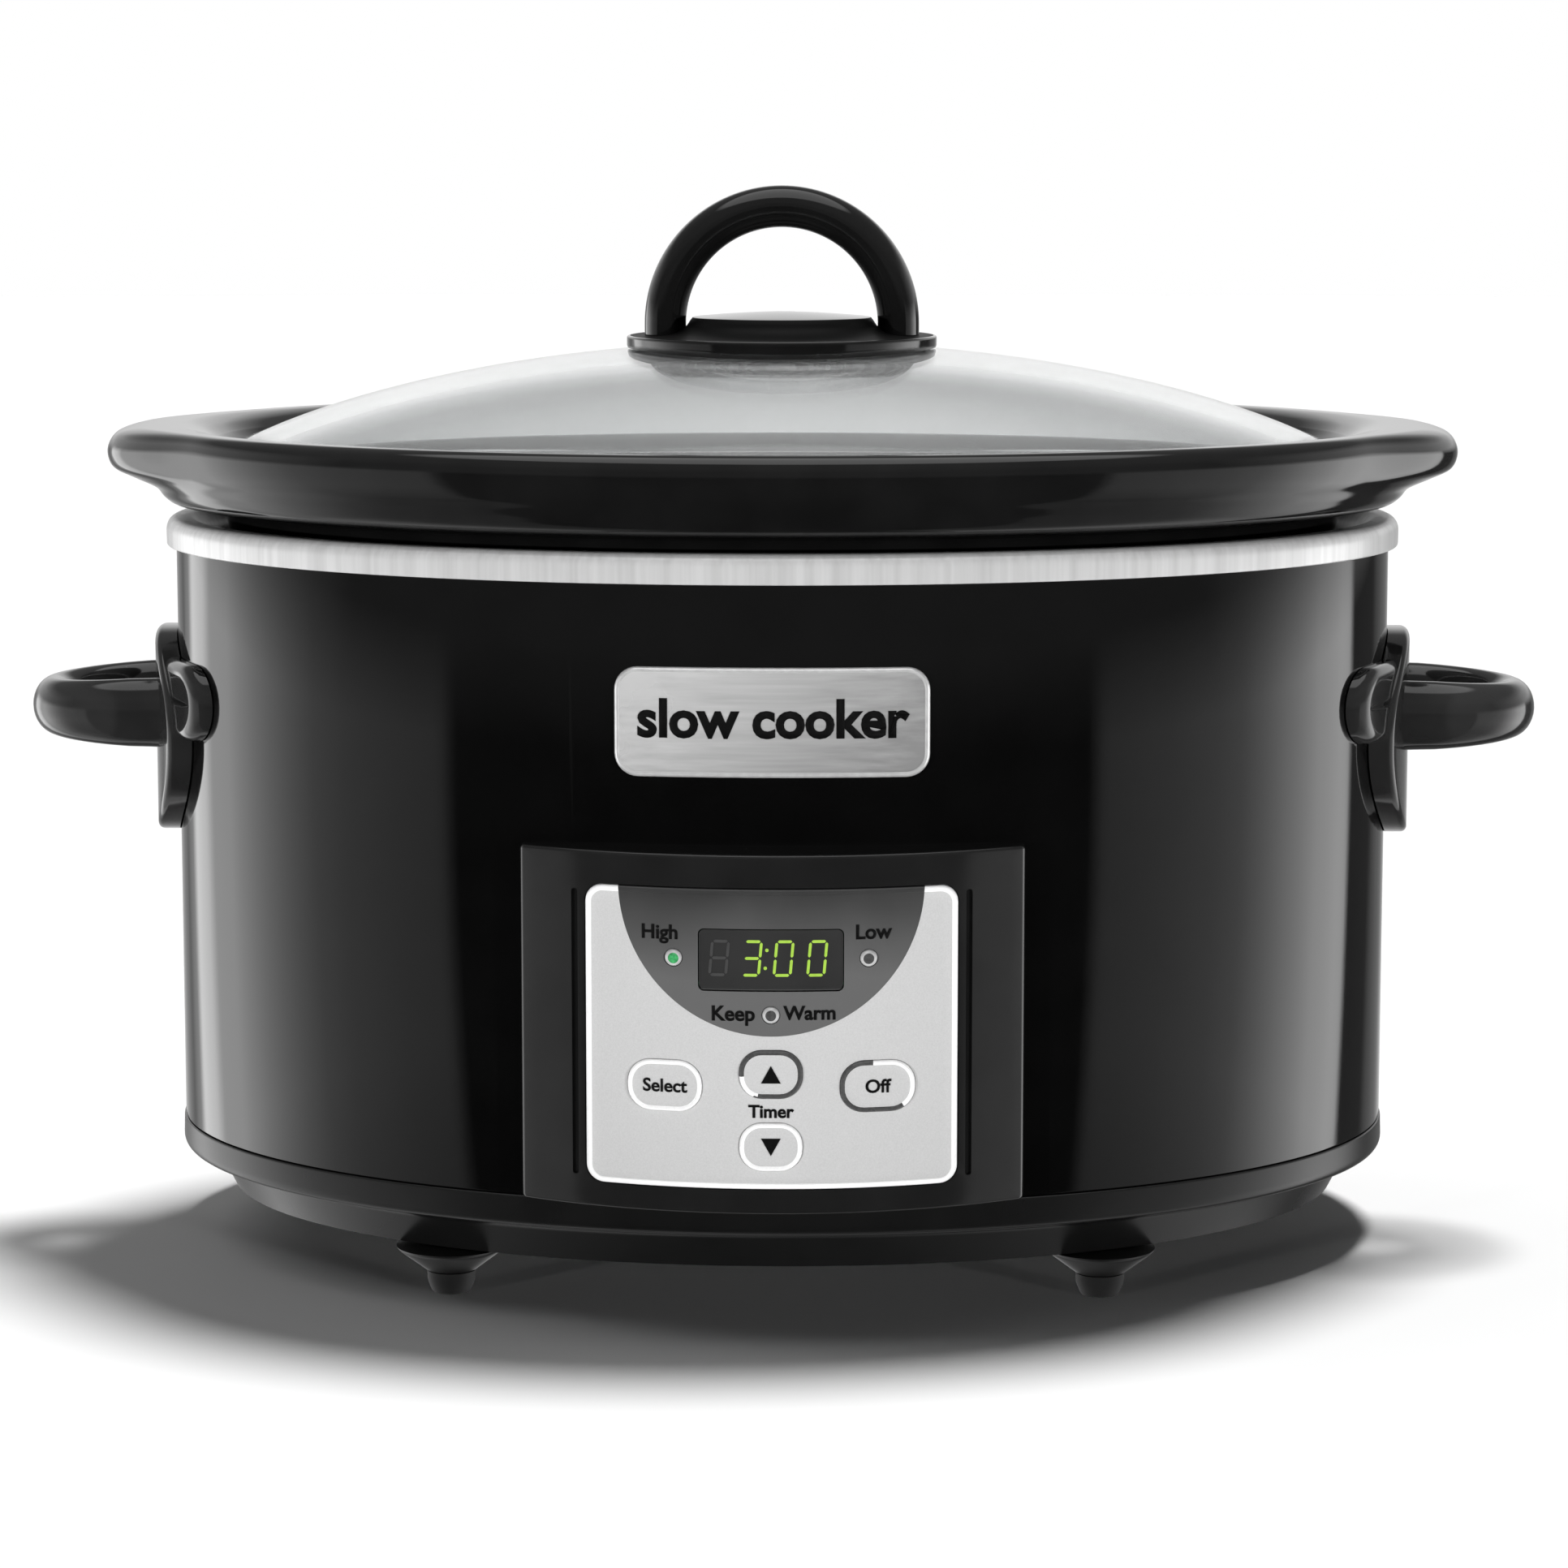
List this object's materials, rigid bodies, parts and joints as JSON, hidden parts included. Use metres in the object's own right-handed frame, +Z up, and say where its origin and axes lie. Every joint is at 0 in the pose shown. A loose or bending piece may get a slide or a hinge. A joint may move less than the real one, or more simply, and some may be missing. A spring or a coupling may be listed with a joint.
{
  "type": "slow cooker",
  "caption": "Oval countdown slow cooker: gloss black heated casing with a digital control panel, lift-out glazed crock, domed glass lid and side handles.",
  "frame": {"origin": "on the surface that the four rubber feet stand on, below the middle of the whole object's box", "axes": "+Z up, +X to the right of someone facing the control panel, which faces -Y; the oval's long axis lies along X and its centre is at Y +3.4 mm"},
  "size_m": [0.4194, 0.2786, 0.2903],
  "materials": {
    "painted_wall": "gloss black baked enamel on steel sheet",
    "brushed_rim": "brushed",
    "black_glaze": "gloss black glaze on stoneware",
    "clear_glass": "clear tempered glass",
    "gloss_black": "gloss black moulding",
    "satin_black": "satin black moulding",
    "silver_fascia": "satin silver paint",
    "badge_metal": "satin grey",
    "smoked_window": "smoked clear plastic",
    "green_lens": "green lens, lit",
    "clear_lens": "clear lens",
    "black_rubber": "matt",
    "zinc_steel": "zinc-plated",
    "green_board": "green solder mask on glass fibre",
    "black_component": "moulded case",
    "mica_band": "mica paper round a resistance wire"
  },
  "bodies": {
    "housing": {"outer_shell": "painted_wall", "heating_liner": "brushed_rim", "base_tray": "satin_black", "foot_front_left": "satin_black", "foot_front_right": "satin_black", "foot_rear_left": "satin_black", "foot_rear_right": "satin_black", "foot_pad_front_left": "black_rubber", "foot_pad_front_right": "black_rubber", "foot_pad_rear_left": "black_rubber", "foot_pad_rear_right": "black_rubber", "badge": "badge_metal", "handle_left": "gloss_black", "handle_right": "gloss_black", "handle_screw_left_front": "zinc_steel", "handle_screw_left_rear": "zinc_steel", "handle_screw_right_front": "zinc_steel", "handle_screw_right_rear": "zinc_steel", "control_housing": "gloss_black", "control_fascia": "silver_fascia", "display_window": "smoked_window", "display_module": "black_component", "led_high": "green_lens", "led_low": "clear_lens", "led_keep_warm": "clear_lens", "control_board": "green_board", "switch_select": "black_component", "switch_off": "black_component", "switch_up": "black_component", "switch_down": "black_component", "heater_band": "mica_band", "band_clamp": "zinc_steel", "thermal_fuse": "zinc_steel", "temperature_sensor": "zinc_steel", "heat_shield": "zinc_steel", "liner_strap_left": "zinc_steel", "liner_strap_right": "zinc_steel", "base_screw_left": "zinc_steel", "base_screw_right": "zinc_steel", "power_board": "green_board", "transformer": "black_component", "relay": "black_component", "capacitor": "black_component", "board_post_1": "satin_black", "board_post_2": "satin_black", "board_post_3": "satin_black", "board_post_4": "satin_black", "cord_gland": "satin_black", "terminal_block": "black_component"},
    "crock": {"crock": "black_glaze"},
    "lid": {"lid_glass": "clear_glass", "lid_handle": "gloss_black", "lid_washer": "zinc_steel", "lid_screw": "zinc_steel"},
    "key_select": {"key_select": "silver_fascia"},
    "key_off": {"key_off": "silver_fascia"},
    "key_up": {"key_up": "silver_fascia"},
    "key_down": {"key_down": "silver_fascia"}
  },
  "joints": [
    {"name": "crock_lift", "type": "slide", "parent": "housing", "child": "crock", "axis": [0, 0, 1], "range_m": [0, 0.15]},
    {"name": "lid_lift", "type": "slide", "parent": "crock", "child": "lid", "axis": [0, 0, 1], "range_m": [0, 0.07]},
    {"name": "key_select_press", "type": "slide", "parent": "housing", "child": "key_select", "axis": [0, 1, 0], "range_m": [0, 0.0006], "stiffness_N_per_m": 400},
    {"name": "key_off_press", "type": "slide", "parent": "housing", "child": "key_off", "axis": [0, 1, 0], "range_m": [0, 0.0006], "stiffness_N_per_m": 400},
    {"name": "key_up_press", "type": "slide", "parent": "housing", "child": "key_up", "axis": [0, 1, 0], "range_m": [0, 0.0006], "stiffness_N_per_m": 400},
    {"name": "key_down_press", "type": "slide", "parent": "housing", "child": "key_down", "axis": [0, 1, 0], "range_m": [0, 0.0006], "stiffness_N_per_m": 400}
  ]
}
